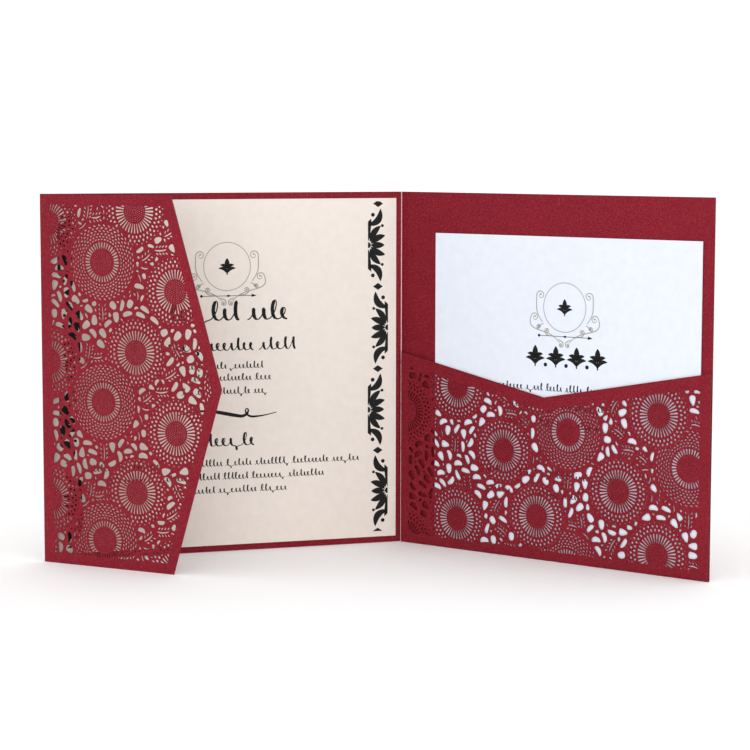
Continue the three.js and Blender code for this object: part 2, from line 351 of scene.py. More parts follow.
def stippled_disc(centre):
    """Pin-holes that lighten the middle of a rosette."""
    holes = []
    for row, radius in enumerate(STIPPLE_RADII):
        holes += ring(centre, 7 + 6 * row, radius * MM, oval(0.42 * MM, 0.36 * MM, 4), 0.5 * (row % 2))
    return holes


def rayed_rosette(centre, sizes):
    holes = stippled_disc(centre)
    holes += ring(centre, sizes.rays, 0.0, slit(*(part * MM for part in RAY)))
    for row, (radius, run, width, sides) in enumerate(DOT_RINGS):
        dot = oval(run * MM, width * MM, sides)
        holes += ring(centre, sizes.rays, radius * MM, dot, 0.5 * (1 - row % 2))
    return holes


def dashed_rosette(centre, sizes):
    holes = stippled_disc(centre)
    holes += ring(centre, sizes.rays, 0.0, slit(*(part * MM for part in SHORT_RAY)))
    for row in range(DASH_RINGS):
        radius = (DASH_RADIUS + RADIUS_STEP * row) * MM
        dash = oval((DASH_RUN + RUN_STEP * row) * MM, DASH_WIDTH * MM)
        tilt = radians(90 - DASH_LEAN if row % 2 else 90 + DASH_LEAN)
        holes += ring(centre, sizes.dashes, radius, dash, 0.5 * (row % 2), tilt)
    return holes


def twig(centre, turn, run, leaves):
    """A curved stem slit with leaflets on both sides."""
    shapes = [stone(run, STEM_WIDTH * MM, bend=1.5)]
    leaflet = oval(LEAFLET_RUN * MM, LEAFLET_WIDTH * MM)
    for i in range(leaves):
        along = ((i + 0.5) / leaves - 0.4) * run
        for side in (-1, 1):
            shapes.append(turned(leaflet, complex(along, side * LEAFLET_OFFSET * MM), side * LEAFLET_TILT))
    return [turned(shape, centre, turn) for shape in shapes]


class Room:
    """What is left to cut in one area, inside its frame and beside the cuts made so far."""

    def __init__(self, borders_at, reaches, strip):
        self.borders_at = borders_at
        self.reaches = reaches
        self.strip = strip
        self.bins = {}

    def bin_of(self, spot):
        return floor(spot.real / ROOM_BIN), floor(spot.imag / ROOM_BIN)

    def off_rosettes(self, spot, spare):
        return all(abs(spot - centre) > reach + spare for centre, reach in self.reaches)

    def free(self, spot, radius):
        """Whether a disc fits between the frame, the rosettes and the other cuts."""
        if any(depth_in(border, spot) < radius for border in self.borders_at(spot)):
            return False
        if not self.off_rosettes(spot, radius + self.strip):
            return False
        column, row = self.bin_of(spot)
        bins = [self.bins.get((column + i, row + j), ()) for i in (-1, 0, 1) for j in (-1, 0, 1)]
        return all(abs(spot - other) > radius + 1.5 * self.strip for near in bins for other in near)

    def take(self, shape):
        for spot in (*shape, middle_of(shape)):
            self.bins.setdefault(self.bin_of(spot), []).append(spot)


def cut_twigs(room, sprays):
    """Twigs, without the parts that would touch a rosette, the frame or an earlier twig."""
    holes = []
    for across, up, degrees, run, leaves in sprays:
        for shape in twig(complex(across, up) * MM, radians(degrees), run * MM, leaves):
            clear = all(room.off_rosettes(spot, 0.7 * room.strip) for spot in shape)
            if clear and room.free(middle_of(shape), 0.0):
                holes.append(shape)
        for shape in holes[-1 - 2 * leaves:]:
            room.take(shape)
    return holes


def cut_stones(room, width, height):
    """Stones packed into the room that is left, large ones first."""
    holes = []
    step = STONE_STEP * MM
    for size, run in enumerate(STONE_RUNS):
        for row in range(int(height / step)):
            for column in range(int(width / step)):
                seed = row * 173 + column * 7 + size * 31
                spot = complex(column + 0.8 * scatter(seed), row + 0.8 * scatter(seed + 0.5)) * step
                if not room.free(spot, 0.2 * run * MM):
                    continue
                share, slimness, taper, bend, flat = STONES[int(scatter(seed + 0.3) * len(STONES))]
                span, breadth = share * run * MM, share * slimness * run * MM
                for attempt in range(STONE_TRIES):
                    turn = pi * (scatter(seed + 0.9) + attempt / STONE_TRIES)
                    spine = cmath.rect((span - breadth) / 2, turn)
                    if all(room.free(spot + end * spine, breadth / 2) for end in (-1, 0, 1)):
                        holes.append(turned(stone(span, breadth, taper, bend, flat), spot, turn))
                        room.take(holes[-1])
                        break
    return holes


def flap_sprays(pitches):
    return [(across, up + pitch * k, degrees, run, leaves)
            for across, up, degrees, run, leaves in TWIGS for pitch, k in pitches]


def pocket_sprays(pitches):
    sprays = []
    for across, up, degrees, run, leaves in flap_sprays(pitches):
        for k in (-1, 0, 1):
            spot = POCKET_MIRROR + complex(-across, up) + k * POCKET_REPEAT
            sprays.append((spot.real, spot.imag, 180 - degrees, run, leaves))
    return sprays


def cut_work(columns, sprays_of, borders_at, width, height, sizes):
    """All cuts of one area, clipped by its frame."""
    rosettes = []
    for across, up, rayed in columns:
        foot = up * MM - sizes.pitch
        while foot < height + DASHED_REACH:
            rosettes.append((complex(across * MM, foot), rayed))
            foot += sizes.pitch
    reaches = [(centre, RAYED_REACH if rayed else DASHED_REACH) for centre, rayed in rosettes]
    cuts = []
    for i, (centre, rayed) in enumerate(rosettes):
        shapes = rayed_rosette(centre, sizes) if rayed else dashed_rosette(centre, sizes)
        before = [(spot, reach) for spot, reach in reaches[:i] if abs(spot - centre) < 2 * DASHED_REACH]
        cuts += [shape for shape in shapes
                 if all(abs(middle_of(shape) - spot) > reach + sizes.strip for spot, reach in before)]
    room = Room(borders_at, reaches, sizes.strip)
    pitch = sizes.pitch / MM
    cuts += cut_twigs(room, sprays_of([(pitch, k) for k in range(-1, ceil(height / sizes.pitch) + 1)]))
    cuts += cut_stones(room, width, height)
    trimmed = (clipped(shape, borders_at(middle_of(shape)), sizes.smallest_edge) for shape in cuts)
    return [shape for shape in trimmed if len(shape) > 2 and abs(area_of(shape)) > SMALLEST_CUT ** 2]


# The jacket's sheet

def rectangle(left, right, foot, top):
    return [complex(left, foot), complex(right, foot), complex(right, top), complex(left, top)], []


def flap_cell(strip, work):
    sizes = strip.sizes
    outline = [0j, complex(sizes.flap_corner, 0), complex(sizes.flap_tip, sizes.height / 2),
               complex(sizes.flap_corner, sizes.height), complex(0, sizes.height)]
    borders = borders_of(outline, [work.flap_frame] * len(outline))
    holes = cut_work(FLAP_COLUMNS, flap_sprays, lambda spot: borders, sizes.flap_tip, sizes.height, work)
    on_sheet = [[strip.flap_start + spot for spot in loop] for loop in (outline, *holes)]
    return on_sheet[0], on_sheet[1:]


def pocket_cell(strip, pocket, work):
    width = strip.sizes.right_width
    notch = width / 2 - pocket.notch_shift
    outline = [complex(strip.pocket_edge, strip.pocket_start), complex(width, strip.pocket_start),
               complex(width, pocket.side_height), complex(notch, pocket.notch_height),
               complex(strip.pocket_edge, pocket.side_height)]
    foot_frame = work.foot_frame - strip.pocket_start
    left_frame = work.side_frame - strip.pocket_edge
    frames = [foot_frame, work.side_frame, work.top_frame, work.top_frame, left_frame]
    foot, right, top_right, top_left, left = borders_of(outline, frames)
    left_borders, right_borders = (foot, right, top_left, left), (foot, right, top_right, left)

    def borders_at(spot):
        return left_borders if spot.real < notch else right_borders

    def on_sheet(spot):
        return complex(width - spot.real, 2 * strip.pocket_start - strip.pocket_bend - spot.imag)

    holes = cut_work(POCKET_COLUMNS, pocket_sprays, borders_at, width, pocket.side_height, work)
    return [on_sheet(spot) for spot in outline], [[on_sheet(spot) for spot in hole] for hole in holes]


def right_panel_cell(strip, pocket):
    width = strip.sizes.right_width
    slit_side = width - pocket.relief
    return [complex(0, strip.pocket_start), complex(width - strip.pocket_edge, strip.pocket_start),
            complex(slit_side, strip.pocket_start), complex(slit_side, 0), complex(width, 0),
            complex(width, strip.sizes.height), complex(0, strip.sizes.height)], []


def sheet_cells(strip, pocket, work):
    """Flat cells that meet along shared edges: panels, facets of the folds, flap and pocket."""
    sizes = strip.sizes
    width, height = sizes.right_width, sizes.height
    cells = [right_panel_cell(strip, pocket), rectangle(strip.centre_start, strip.centre_end, 0, height)]
    for i in range(sizes.fold_steps):
        start, end = i / sizes.fold_steps, (i + 1) / sizes.fold_steps
        for side, bend in ((width, strip.middle_bend), (strip.centre_end, strip.outer_bend)):
            cells.append(rectangle(side + start * bend, side + end * bend, 0, height))
        low = strip.pocket_start - end * strip.pocket_bend
        high = strip.pocket_start - start * strip.pocket_bend
        cells.append(rectangle(0, width - strip.pocket_edge, low, high))
    return cells + [flap_cell(strip, work), pocket_cell(strip, pocket, work)]


def surrounds(outline, spot):
    """Whether a spot lies inside an outline."""
    inside = False
    for a, b in zip(outline, outline[1:] + outline[:1]):
        if (a.imag > spot.imag) != (b.imag > spot.imag):
            share = (spot.imag - a.imag) / (b.imag - a.imag)
            inside ^= spot.real < a.real + share * (b.real - a.real)
    return inside


def triangulated(outline, holes):
    """Corner triples of an outline without its holes."""
    loops = [outline, *holes]
    corners = [(spot, owner) for owner, loop in enumerate(loops) for spot in loop]
    edges, first = [], 0
    for loop in loops:
        edges += [(first + i, first + (i + 1) % len(loop)) for i in range(len(loop))]
        first += len(loop)
    places = [Vector((spot.real, spot.imag)) for spot, _ in corners]
    found, _, faces, origins, _, _ = delaunay_2d_cdt(places, edges, [], 1, 1e-8)
    exact = [corners[origin[0]] if origin else (complex(*place), 0)
             for place, origin in zip(found, origins)]
    triangles = []
    for face in faces:
        spots = [exact[i][0] for i in face]
        owners = {exact[i][1] for i in face}
        owner = owners.pop()
        in_hole = not owners and owner > 0 and surrounds(loops[owner], middle_of(spots))
        if not in_hole:
            triangles.append(spots)
    return triangles


def sheet_mesh(name, strip, cells):
    """Both faces of the folded sheet and the walls of all its free edges."""
    known, corners, faces = {}, [], []

    def corner_at(spot):
        key = (round(spot.real, 7), round(spot.imag, 7))
        if key not in known:
            known[key] = len(corners)
            corners.append(spot)
        return known[key]

    for outline, holes in cells:
        for triangle in triangulated(outline, holes):
            a, b, c = (corner_at(spot) for spot in triangle)
            if len({a, b, c}) == 3:
                faces.append((a, c, b) if area_of(triangle) > 0 else (a, b, c))
    edges = {edge for a, b, c in faces for edge in ((a, b), (b, c), (c, a))}
    total = len(corners)
    walls = [(b, a, a + total, b + total) for a, b in edges if (b, a) not in edges]
    backs = [(a + total, c + total, b + total) for a, b, c in faces]
    places = [strip.folded(spot.real, spot.imag, strip.bead(spot.real)) for spot in corners]
    places += [strip.folded(spot.real, spot.imag, -strip.sizes.paper) for spot in corners]
    mesh = bpy.data.meshes.new(name)
    mesh.from_pydata(places, [], faces + backs + walls)
    crease = (strip.sizes.right_width - 1e-6, strip.centre_start + 1e-6)
    on_crease = [all(crease[0] < corners[i].real < crease[1] for i in face) for face in faces]
    # Slot 2 gives the middle crease its pale fibres and painted highlight
    slots = [2 if creased else 0 for creased in on_crease] + [0] * len(backs) + [1] * len(walls)
    mesh.polygons.foreach_set("material_index", slots)
    mesh.polygons.foreach_set("use_smooth", [True] * len(slots))
    mesh.set_sharp_from_angle(angle=radians(35))
    mesh.update()
    return mesh


def seam_mesh(name, strip, pocket, near, far):
    """A glued strip between the right panel and the pocket."""
    slope = (pocket.side_height - pocket.notch_height) / (strip.sizes.right_width / 2)
    top = pocket.side_height - slope * (pocket.seam_width + strip.pocket_edge + 2 * pocket.seam_inset)
    foot = strip.pocket_start + strip.pocket_radius / 2
    inner, outer = -strip.sizes.paper / 4, 2 * strip.pocket_radius + strip.sizes.paper / 4
    width = strip.sizes.right_width
    plan = [strip.plan(width - across, front)[0]
            for across, front in ((near, inner), (far, inner), (far, outer), (near, outer))]
    places = [(spot.real, spot.imag, height) for height in (foot, top) for spot in plan]
    sides = [(i, (i + 1) % 4, (i + 1) % 4 + 4, i + 4) for i in range(4)]
    mesh = bpy.data.meshes.new(name)
    mesh.from_pydata(places, [], [(3, 2, 1, 0), (4, 5, 6, 7)] + sides)
    mesh.validate()
    return mesh


def new_piece(mesh, slot, *materials):
    piece = bpy.data.objects.new(mesh.name, mesh)
    bpy.context.scene.collection.objects.link(piece)
    for material in materials:
        mesh.materials.append(material)
    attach(piece, BODY)
    return piece


# Print, drawn as ribbons and discs in millimetres on the face of a card

# Pen loops: distance between them, slant and heights, all as shares of the line's height
PEN_PITCH, PEN_SLANT = 0.56, 0.16
TALL_LOOP, SMALL_LOOP, LOW_LOOP = 1.0, 0.6, -0.34
SMALLEST_PRINT_EDGE = 0.004
# Start, lean, curl's centre, curl's radius and opening of each vine, in radii of the ring
VINES = ((1.06 - 0.62j, 0.9, 1.14 + 0.46j, 0.2, 0.0), (0.22 - 1.44j, 0.9, 1.42 - 0.44j, 0.18, 0.4),
         (0.5 - 1.2j, 0.3, 0.82 - 0.98j, 0.12, -0.6), (0.3 - 1.3j, 3.6, 0.16 - 1.52j, 0.1, 3.4),
         (1.0 - 0.7j, 0.2, 1.22 - 0.82j, 0.1, -0.4))
RING_LINE, VINE_LINE = 0.34, 0.42
# Start, length and bend of the leaves at each side of a sprig, in heights of the sprig
SPRIG_LEAVES = ((0.08, 0.62, 0.24), (0.34, 0.5, 0.2))

# Places on the insert and on the reply card, from the panel's left side and foot
INSERT_EMBLEM = complex(76.7, 119.5)
INSERT_ARROW = (65.7, 88.7, 107.3)
INSERT_SWASH = (55, 97.7, 58)
INSERT_BANDS = ((138, 147), (6, 15))
BAND_FOOT, BAND_TOP, BAND_REPEAT = 5, 146, 70
REPLY_EMBLEM = complex(81.8, 104.5)
REPLY_ARROW = (69.7, 94.5, 92.7)
REPLY_SPRIGS = (64, 101, 80, 8.7, 4)
EMBLEM_RADIUS, EMBLEM_SPRIG = 10, 7
# Left end, right end, foot, height and heaviest stroke of each pen line
INSERT_LINES = ((51, 102.5, 97.2, 8.0, 1.6), (47, 106, 84.6, 5.2, 1.05), (59, 92, 77.0, 2.9, 0.6),
                (55, 95.5, 72.0, 2.9, 0.6), (57, 93.7, 66.4, 2.9, 0.6), (64, 88, 44.6, 5.4, 1.05),
                (17.5, 134, 36.2, 2.9, 0.6), (32, 118.5, 30.5, 2.9, 0.6), (49, 102, 24.9, 2.9, 0.6))
REPLY_LINES = ((48, 97, 70.2, 3.0, 0.6), (46, 104, 63.0, 2.9, 0.6), (52, 98, 55.5, 2.9, 0.6),
               (44, 106, 34.5, 2.9, 0.6), (48, 90, 26.5, 2.9, 0.6))


class Print:
    """Flat ink shapes on one card, placed by their distance from the panel's left side and foot."""

    def __init__(self, strip, cards, left_along):
        self.strip = strip
        self.left_along = left_along
        self.front = cards.clearance + cards.thickness + cards.ink_lift
        self.places = []
        self.faces = []
        self.borders = []

    def patch(self, outline):
        """One flat shape, cut off at the borders if there are any."""
        shape = clipped(outline, self.borders, SMALLEST_PRINT_EDGE)
        if len(shape) < 3:
            return
        first = len(self.places)
        for spot in shape:
            plan, _ = self.strip.plan(self.left_along - spot.real * MM, self.front)
            self.places.append((plan.real, plan.imag, spot.imag * MM))
        self.faces.append(list(range(first, first + len(shape))))

    def ribbon(self, path, widths):
        """A stroke along a path, with its own width at each point."""
        sides = []
        for i, spot in enumerate(path):
            ahead = path[min(i + 1, len(path) - 1)] - path[max(i - 1, 0)]
            normal = 0.5j * widths[i] * ahead / max(abs(ahead), 1e-6)
            sides.append((spot + normal, spot - normal))
        for (left, right), (next_left, next_right) in zip(sides, sides[1:]):
            self.patch([right, next_right, next_left, left])

    def line(self, start, end, width):
        self.ribbon([start, end], [width, width])

    def disc(self, centre, diameter, sides=12):
        self.patch(turned(oval(diameter, diameter, sides), centre, 0))

    def circle(self, centre, radius, width, sides=72):
        path = [centre + cmath.rect(radius, FULL_TURN * i / sides) for i in range(sides + 1)]
        self.ribbon(path, [width] * len(path))

    def leaf(self, start, tip, width, bend=0.0):
        """A tapered stroke, pointed at both ends, bent to one side."""
        shares = [i / 10 for i in range(11)]
        bulges = [sin(pi * share) for share in shares]
        path = [start + (tip - start) * (share + 1j * bend * bulge) for share, bulge in zip(shares, bulges)]
        self.ribbon(path, [max(width * bulge ** 0.8, 0.03) for bulge in bulges])

    def tendril(self, origin, side, start, lean, centre, radius, opening, width):
        """A bent stroke that ends in a spiral, drawn to the right of an origin or mirrored to its left."""
        end = centre + cmath.rect(radius, opening)
        handle = 0.5 * abs(end - start)
        controls = (start, start + cmath.rect(handle, lean), end - 1j * cmath.rect(handle, opening), end)
        path, widths = [], []
        for i in range(17):
            share = i / 16
            rest = 1 - share
            parts = (rest ** 3, 3 * share * rest ** 2, 3 * share ** 2 * rest, share ** 3)
            path.append(sum(part * spot for part, spot in zip(parts, controls)))
            widths.append(width * (0.5 + 0.6 * sin(pi * (0.15 + 0.5 * share))))
        for i in range(1, 27):
            share = i / 26
            path.append(centre + cmath.rect(radius * (1 - 0.8 * share), opening + 1.25 * FULL_TURN * share))
            widths.append(width * (1.1 - 0.6 * share))
        path = [origin + complex(side * spot.real, spot.imag) for spot in path]
        self.ribbon(path, widths)
        self.disc(path[-1], 2.0 * width)

    def pen_run(self, start, run, height, thin, thick, seed):
        """Joined loops and arches of uneven height and width, thick where the pen comes down."""
        loops = max(round(run / (PEN_PITCH * height)), 1)
        pitch = run / loops
        steps = 12
        path = []
        for k in range(loops):
            pick = scatter(seed + 0.37 * k)
            rise = height * (TALL_LOOP if pick > 0.72 else LOW_LOOP if pick < 0.1 else SMALL_LOOP)
            swing = pitch * (0.12 + 0.3 * scatter(seed + 0.61 * k))
            for i in range(steps):
                turn = FULL_TURN * i / steps
                up = rise * (0.5 - 0.5 * cos(turn))
                across = (k + i / steps) * pitch + swing * sin(turn) + PEN_SLANT * up
                path.append(start + complex(across, up))
        path.append(start + run)
        widths = []
        for i in range(len(path)):
            ahead = path[min(i + 1, len(path) - 1)] - path[max(i - 1, 0)]
            falling = max(-ahead.imag, 0) / max(abs(ahead), 1e-6)
            widths.append(thin + (thick - thin) * falling ** 1.5)
        self.ribbon(path, widths)

    def pen_line(self, left, right, up, height, stroke, seed):
        """Runs of pen loops with gaps between them, from one end of a line to the other."""
        across = left
        while across < right:
            run = (2.6 + 3.4 * scatter(seed + 0.1 * across)) * height
            if across + run > right - 1.8 * height:
                run = right - across
            self.pen_run(complex(across, up), run, height, 0.32 * stroke, stroke, seed + across)
            across += run + 0.45 * height

    def pen_lines(self, lines):
        for left, right, up, height, stroke in lines:
            self.pen_line(left, right, up, height, stroke, up)

    def piece(self, name, slot, material):
        mesh = bpy.data.meshes.new(name)
        mesh.from_pydata(self.places, [], self.faces)
        mesh.update()
        return new_piece(mesh, slot, material)


def emblem(ink, centre):
    """A ring in a pair of climbing vines."""
    radius = EMBLEM_RADIUS
    ink.circle(centre, radius, RING_LINE)
    for side in (-1, 1):
        for start, lean, curl, reach, opening in VINES:
            curve = (start * radius, lean, curl * radius, reach * radius, opening)
            ink.tendril(centre, side, *curve, VINE_LINE)


def sprig(ink, centre, height):
    """A small upright bud between two pairs of leaves."""
    foot = centre - 0.5j * height
    ink.leaf(foot + 0.35j * height, foot + 1j * height, 0.3 * height)
    ink.line(foot, foot + 0.5j * height, 0.07 * height)
    for side in (-1, 1):
        for up, reach, bend in SPRIG_LEAVES:
            start = foot + 1j * up * height
            ink.leaf(start, start + reach * height * complex(0.86 * side, 0.5), 0.2 * height, bend * side)


def sprig_row(ink, left, right, up, height, copies):
    """A row of sprigs, with a round stop after each but the last."""
    pitch = (right - left) / (copies - 0.25)
    for i in range(copies):
        middle = complex(left + (i + 0.4) * pitch, up + height / 2)
        sprig(ink, middle, height)
        if i + 1 < copies:
            ink.disc(complex(middle.real + 0.5 * pitch, up + 0.9), 1.7)


def arrow_rule(ink, left, right, up):
    """A fine rule with a dot at one end, a point at the other and a diamond in its middle."""
    ink.line(complex(left, up), complex(right, up), 0.24)
    middle = complex((left + right) / 2, up)
    ink.patch([middle - 1.1, middle - 0.5j, middle + 1.1, middle + 0.5j])
    ink.disc(complex(left, up), 1.2)
    ink.patch([complex(right - 1.6, up - 0.7), complex(right + 0.6, up), complex(right - 1.6, up + 0.7)])


def swash(ink, left, right, up):
    """A wide pen flourish with one loop."""
    loop_start, loop_share, loop_radius = 0.64, 0.12, 1.7
    path, widths = [], []
    for i in range(121):
        share = i / 120
        spot = complex(left + (right - left) * share, up + 1.5 * sin(FULL_TURN * share))
        swept = FULL_TURN * min(max((share - loop_start) / loop_share, 0), 1)
        path.append(spot + loop_radius * complex(sin(swept), 1 - cos(swept)))
        widths.append(0.35 + 1.2 * sin(pi * share) ** 2 * (0.6 + 0.4 * cos(swept)))
    ink.ribbon(path, widths)


def ornament_band(ink, left, right, foot, top, repeat):
    """An upright band of large fans and scrolls that its sides cut off, from one side and the other."""
    outline, _ = rectangle(left, right, foot, top)
    ink.borders = borders_of(outline, [0] * 4)
    half = repeat / 2
    for k in range(ceil((top - foot) / half)):
        side = 1 if k % 2 else -1
        hub = complex(right if side < 0 else left, foot + (k + 0.5) * half)
        for i in range(-3, 4):
            reach = complex(side * cos(0.48 * i), sin(0.48 * i)) * (7.4 + 1.3 * abs(i))
            ink.leaf(hub + 0.16 * reach, hub + reach, 2.7, 0.1 * side * (i > 0) - 0.1 * side * (i < 0))
        ink.disc(hub, 2.6)
        for flip in (-1, 1):
            far = hub + complex(side * (right - left), flip * 9)
            ink.leaf(far - 3.5j * flip, far + 9j * flip, 4.2, -0.3 * side * flip)
            ink.leaf(hub + 8.4j * flip, hub + complex(side * 5.6, flip * 15.4), 2.9, -0.24 * side * flip)
            ink.disc(hub + complex(side * 2.2, flip * 12.8), 1.7)
            ink.disc(hub + complex(side * 6.4, flip * 8.2), 1.3)
        middle = complex((left + right) / 2, foot + k * half)
        ink.patch([middle - 2.2, middle - 1.5j, middle + 2.2, middle + 1.5j])
    ink.borders = []


# Materials

class Value:
    """A shader socket that adds Math nodes when it is used in an expression."""

    def __init__(self, book, socket):
        self.book = book
        self.socket = socket

    def math(self, operation, *inputs):
        return self.book.node("ShaderNodeMath", {"operation": operation}, dict(enumerate(inputs)))

    def __add__(self, other):
        return self.math("ADD", self, other)

    def __sub__(self, other):
        return self.math("SUBTRACT", self, other)

    def __rsub__(self, other):
        return self.math("SUBTRACT", other, self)

    def __mul__(self, other):
        return self.math("MULTIPLY", self, other)

    def __abs__(self):
        return self.math("ABSOLUTE", self)

    __radd__ = __add__
    __rmul__ = __mul__


class Finish:
    """The node tree of one material, filled by its node method."""

    def __init__(self, name):
        self.material = bpy.data.materials.new(name)
        self.material.use_nodes = True
        self.nodes = self.material.node_tree.nodes
        self.links = self.material.node_tree.links
        self.nodes.clear()
        output = self.nodes.new("ShaderNodeOutputMaterial")
        self.shader = self.nodes.new("ShaderNodeBsdfPrincipled")
        self.links.new(self.shader.outputs[0], output.inputs[0])
        self.place = self.node("ShaderNodeTexCoord", {}, {}, "Object")

    def plug(self, socket, value):
        if isinstance(value, Value):
            self.links.new(value.socket, socket)
        elif isinstance(value, (int, float)):
            socket.default_value = value
        else:
            numbers = tuple(value)
            socket.default_value = numbers + (1.0,) if socket.type == "RGBA" else numbers

    def node(self, kind, settings, inputs, output=0):
        made = self.nodes.new(kind)
        for key, value in settings.items():
            setattr(made, key, value)
        for key, value in inputs.items():
            self.plug(made.inputs[key], value)
        return Value(self, made.outputs[output])

    def noise(self, scale, detail=2.0, roughness=0.5):
        inputs = {"Vector": self.place, "Scale": scale, "Detail": detail, "Roughness": roughness}
        return self.node("ShaderNodeTexNoise", {}, inputs)

    def steps(self, value, low, high):
        inputs = {"Value": value, "From Min": low, "From Max": high}
        return self.node("ShaderNodeMapRange", {"clamp": True}, inputs)

    def mix(self, share, first, second):
        return self.node("ShaderNodeMix", {"data_type": "RGBA"}, {0: share, 6: first, 7: second}, 2)

    def bump(self, height, strength, distance):
        inputs = {"Height": height, "Strength": strength, "Distance": distance}
        return self.node("ShaderNodeBump", {}, inputs)

    def finish(self, **inputs):
        for key, value in inputs.items():
            self.plug(self.shader.inputs[key.replace("_", " ")], value)
        return self.material


def toned(colour, share):
    return tuple(min(1.0, share * part) for part in colour)


def pearl_card(colours):
    """Burgundy card with soft clouds, pearl flecks and a fine fibre grain."""
    card = Finish("burgundy pearl card")
    clouds = card.steps(card.noise(38.0, 2.0), 0.3, 0.7)
    body = card.mix(clouds, toned(colours.burgundy, 0.93), toned(colours.burgundy, 1.06))
    flecks = card.steps(card.noise(2300.0, 1.0, 0.6), 0.48, 0.74)
    grain = card.noise(900.0, 4.0, 0.65)
    return card.finish(
        Base_Color=card.mix(flecks * 0.5, body, colours.shimmer),
        Roughness=card.steps(grain, 0.2, 0.8) * 0.16 + 0.42,
        Metallic=0.3,
        Specular_IOR_Level=0.15,
        Normal=card.bump(grain, 0.25, 0.05 * MM),
    )


def scorched_edge(colours):
    """Cut edge in uneven soot over burgundy."""
    edge = Finish("scorched cut edge")
    soot = edge.steps(edge.noise(1800.0, 3.0), 0.35, 0.65)
    return edge.finish(Base_Color=edge.mix(soot, colours.scorch, colours.burgundy), Roughness=0.8)


def crease_fibres_and_painted_highlight(colours):
    """Crease painted pale pink in streaks: partly bared fibres, partly a painted highlight along the scored
    bead.
    """
    crease = Finish("bared crease fibres")
    # Streaks of the pale colour: bared fibres and painted highlight together
    fibre_and_highlight_share = crease.steps(crease.noise(420.0, 4.0, 0.7), 0.2, 0.45)
    return crease.finish(
        Base_Color=crease.mix(fibre_and_highlight_share, colours.burgundy, colours.fibre),
        Roughness=0.7,
        Normal=crease.bump(crease.noise(2200.0, 3.0), 0.4, 0.05 * MM),
    )


def plain_card(name, face, edge_colour, facing, felt):
    """Uncoated card with a felt-marked face and brighter cut edges."""
    card = Finish(name)
    normal = card.node("ShaderNodeNewGeometry", {}, {}, "Normal")
    product = {"operation": "DOT_PRODUCT"}
    towards_face = card.node("ShaderNodeVectorMath", product, {0: normal, 1: facing}, "Value")
    side = 1 - card.steps(abs(towards_face), 0.3, 0.7)
    mottle = card.steps(card.noise(260.0, 4.0, 0.6), 0.25, 0.75)
    shade = card.mix(mottle, toned(face, 0.955), toned(face, 1.02))
    fibres = card.noise(1500.0, 5.0, 0.7)
    return card.finish(
        Base_Color=card.mix(side, shade, edge_colour),
        Roughness=card.steps(fibres, 0.2, 0.8) * 0.12 + 0.72,
        Normal=card.bump(fibres + mottle * 0.6, felt, 0.06 * MM),
    )


def printing_ink(name, ink, roughness):
    """Dry ink that covers the card's fibres unevenly."""
    dry = Finish(name)
    cover = dry.steps(dry.noise(1700.0, 3.0), 0.2, 0.8)
    thin = tuple(part + 0.012 for part in ink)
    return dry.finish(
        Base_Color=dry.mix(cover, thin, ink),
        Roughness=dry.steps(dry.noise(900.0, 3.0), 0.2, 0.8) * 0.15 + roughness,
        Specular_IOR_Level=0.12,
    )


def dress_card(node, strip, left_along, name, face, edge_colour, felt):
    """Gives a card of the frame its paper; left_along is the left side of the panel behind it."""
    heading = strip.plan(left_along)[1]
    facing = (-sin(heading), cos(heading), 0.0)
    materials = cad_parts[node].data.materials
    materials.clear()
    materials.append(plain_card(name, face, edge_colour, facing, felt))


# Operators

# Name, place in metres, side length and power setting of each area light
LAMPS = (("key light", (-0.45, -2.0, 0.2), 1.2, "key_power"),
         ("side light", (1.5, -0.7, 0.9), 0.9, "fill_power"))
LAMP_TARGET = (0, 0, 0.075)


class INVITATION_OT_jacket(bpy.types.Operator):
    """Builds the folded burgundy jacket with its cut-work flap and pocket"""
    bl_idname = "invitation.jacket"
    bl_label = "Jacket"

    def execute(self, context):
        scene = context.scene
        strip = Strip(scene)
        pocket, work, colours = scene.pocket_sizes, scene.cut_work_sizes, scene.finish_colours
        # The crease material paints a highlight along the middle fold as well as its pale fibres
        card, edge, crease = pearl_card(colours), scorched_edge(colours), crease_fibres_and_painted_highlight(colours)
        mesh = sheet_mesh("jacket_sheet", strip, sheet_cells(strip, pocket, work))
        sheet = new_piece(mesh, "burgundy_card", card, edge, crease)
        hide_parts("pocket_jacket")
        inner = strip.pocket_edge + pocket.seam_inset
        outer = strip.sizes.right_width - pocket.seam_inset
        for name, near in (("pocket_seam_near", inner), ("pocket_seam_far", outer - pocket.seam_width)):
            seam = seam_mesh(name, strip, pocket, near, near + pocket.seam_width)
            new_piece(seam, "burgundy_card", edge)
        return {"FINISHED"}


class INVITATION_OT_insert(bpy.types.Operator):
    """Finishes the cream insert and prints its ornament and pen lines"""
    bl_idname = "invitation.insert"
    bl_label = "Insert"

    def execute(self, context):
        scene = context.scene
        strip, cards, colours = Strip(scene), scene.card_sizes, scene.finish_colours
        finish = ("cream felt card", colours.cream, colours.card_edge, 0.3)
        dress_card("invitation_insert", strip, strip.centre_end, *finish)
        dark = printing_ink("black print", colours.ink, 0.4)
        pale = printing_ink("pale ornament print", colours.pale_ink, 0.45)
        fine = Print(strip, cards, strip.centre_end)
        emblem(fine, INSERT_EMBLEM)
        fine.piece("insert_emblem", "cream_card", pale)
        text = Print(strip, cards, strip.centre_end)
        sprig(text, INSERT_EMBLEM, EMBLEM_SPRIG)
        arrow_rule(text, *INSERT_ARROW)
        swash(text, *INSERT_SWASH)
        text.pen_lines(INSERT_LINES)
        text.piece("insert_print", "cream_card", dark)
        bands = Print(strip, cards, strip.centre_end)
        for left, right in INSERT_BANDS:
            ornament_band(bands, left, right, BAND_FOOT, BAND_TOP, BAND_REPEAT)
        bands.piece("insert_bands", "cream_card", dark)
        return {"FINISHED"}


